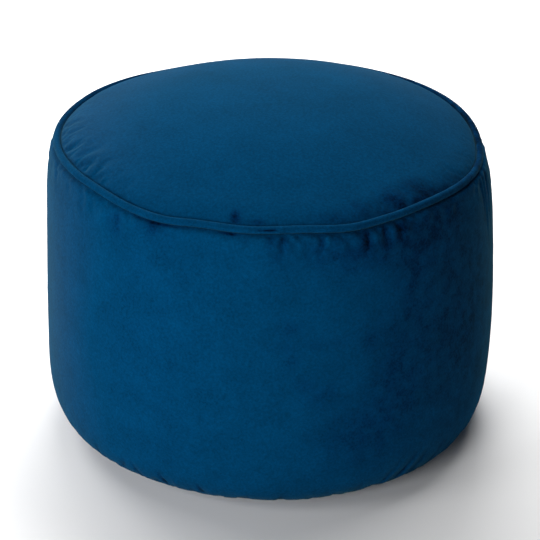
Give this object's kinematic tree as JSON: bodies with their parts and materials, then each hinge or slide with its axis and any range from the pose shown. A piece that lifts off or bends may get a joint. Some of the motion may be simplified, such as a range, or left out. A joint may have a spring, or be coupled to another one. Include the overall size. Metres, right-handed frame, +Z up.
{
  "type": "round bean bag footstool",
  "caption": "Round filled footstool of plain dark blue velvet: a domed top, a corded top seam, bulging drum sides and a flat base to rest on.",
  "frame": {"origin": "middle of the flat underside, on the surface the footstool stands on", "axes": "+Z up along the footstool's axis, -Y towards the front, +X to the right seen from the front"},
  "size_m": [0.4789, 0.4784, 0.366],
  "materials": {
    "velvet_top": "short pile velvet, dark petrol blue",
    "velvet_side": "short pile velvet, dark petrol blue",
    "velvet_piping": "short pile velvet drawn over a cord",
    "velvet_base": "short pile velvet, dark petrol blue"
  },
  "bodies": {
    "root": {"top_panel": "velvet_top", "side_panel": "velvet_side", "top_piping": "velvet_piping", "base_panel": "velvet_base"}
  },
  "joints": []
}
